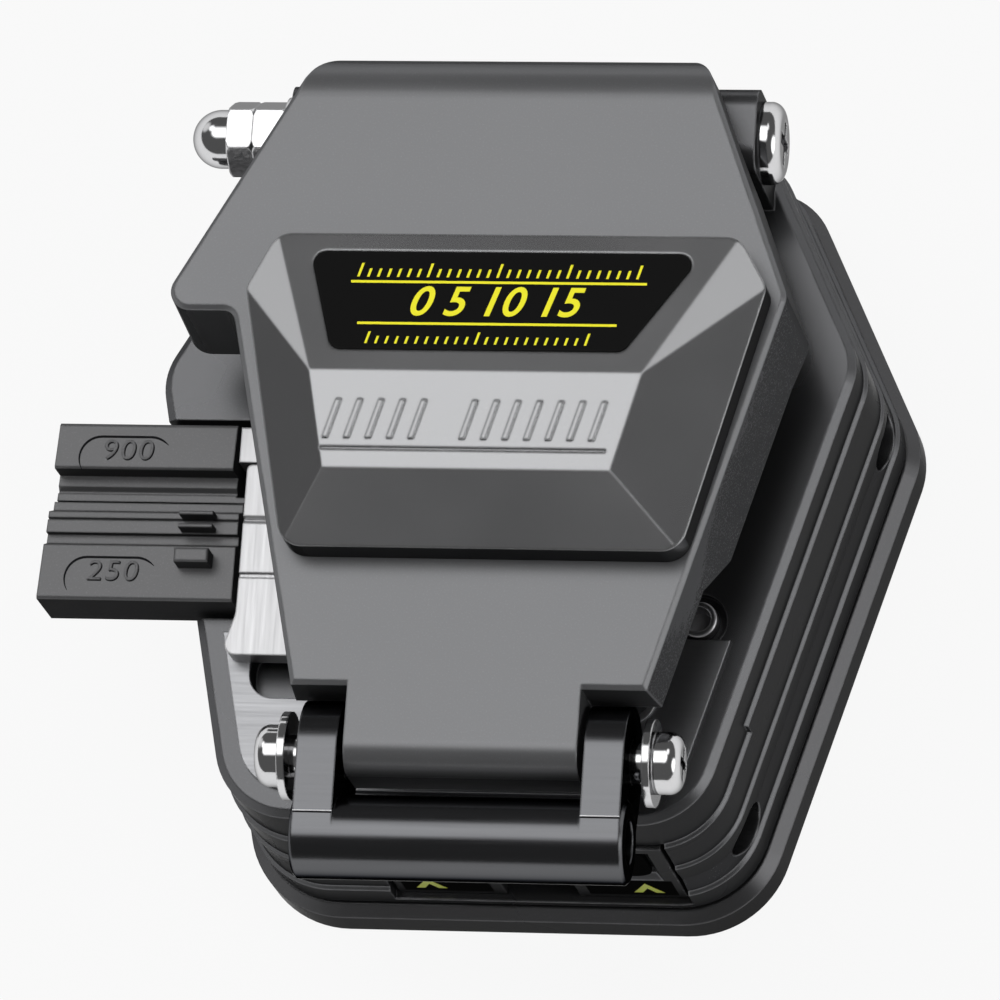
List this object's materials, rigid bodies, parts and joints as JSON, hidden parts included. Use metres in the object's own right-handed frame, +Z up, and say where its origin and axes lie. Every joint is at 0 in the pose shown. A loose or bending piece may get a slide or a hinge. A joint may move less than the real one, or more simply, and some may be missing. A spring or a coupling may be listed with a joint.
{
  "type": "fibre cleaver",
  "caption": "Bench tool that clamps an optical fibre, scores it with a sliding wheel blade and snaps it; hinged lid with faceted badge, fibre adapter, front lever.",
  "frame": {"origin": "on the resting surface, under the tool's plane of symmetry, level with the widest corner of the lid", "axes": "+X to the user's right along the hinge, +Y away from the user, +Z up"},
  "size_m": [0.0838, 0.0878, 0.0637],
  "materials": {
    "dark_paint": "satin",
    "base_paint": "satin",
    "lever_paint": "gloss",
    "steel": "brushed",
    "chrome": "polished",
    "plate": "satin",
    "rubber": "matt",
    "adapter": "matt",
    "label": "gloss"
  },
  "bodies": {
    "base": {"base_plate": "base_paint", "rubber_pad": "rubber", "base_screws": "steel", "body": "dark_paint", "platform_left": "steel", "platform_right": "steel", "lower_pads": "rubber", "platform_screws": "steel", "deck_plate": "plate", "deck_stop": "steel", "striker_disc": "steel", "fibre_adapter": "adapter", "adapter_dowels": "steel", "end_stop": "steel", "slide_rail": "steel", "rail_screws": "steel", "hinge_bolt": "chrome", "hinge_washer": "chrome", "hinge_jam_nut": "chrome", "hinge_acorn_nut": "chrome"},
    "slider": {"rail_carriage": "steel", "slider_block": "base_paint", "push_face": "dark_paint", "push_label": "label", "blade_bolt": "steel"},
    "blade": {"blade_wheel": "steel", "blade_hub": "steel"},
    "lid": {"lid": "dark_paint", "clamp_holder": "base_paint", "upper_pads": "rubber", "magnet_post": "base_paint", "lid_magnet": "steel", "badge": "dark_paint", "badge_label": "label", "lever_screws": "chrome", "lever_washers": "chrome"},
    "anvil": {"anvil": "steel", "anvil_pad": "rubber"},
    "lever": {"front_lever": "lever_paint"}
  },
  "joints": [
    {"name": "lid_hinge", "type": "hinge", "parent": "base", "child": "lid", "pos_m": [0, 0.02085, 0.0435], "axis": [-1, 0, 0], "range_deg": [0, 80]},
    {"name": "lever_swing", "type": "hinge", "parent": "lid", "child": "lever", "pos_m": [0, -0.0463, 0.0518], "axis": [1, 0, 0], "range_deg": [-30, 80]},
    {"name": "slider_slide", "type": "slide", "parent": "base", "child": "slider", "axis": [0, 1, 0], "range_m": [0, 0.018]},
    {"name": "blade_index", "type": "hinge", "parent": "slider", "child": "blade", "pos_m": [-0.0054, -0.028, 0.02785], "axis": [1, 0, 0], "continuous": true},
    {"name": "anvil_press", "type": "slide", "parent": "lid", "child": "anvil", "axis": [0, 0, -1], "range_m": [0, 0.001], "stiffness_N_per_m": 200, "springref_m": -0.001}
  ]
}
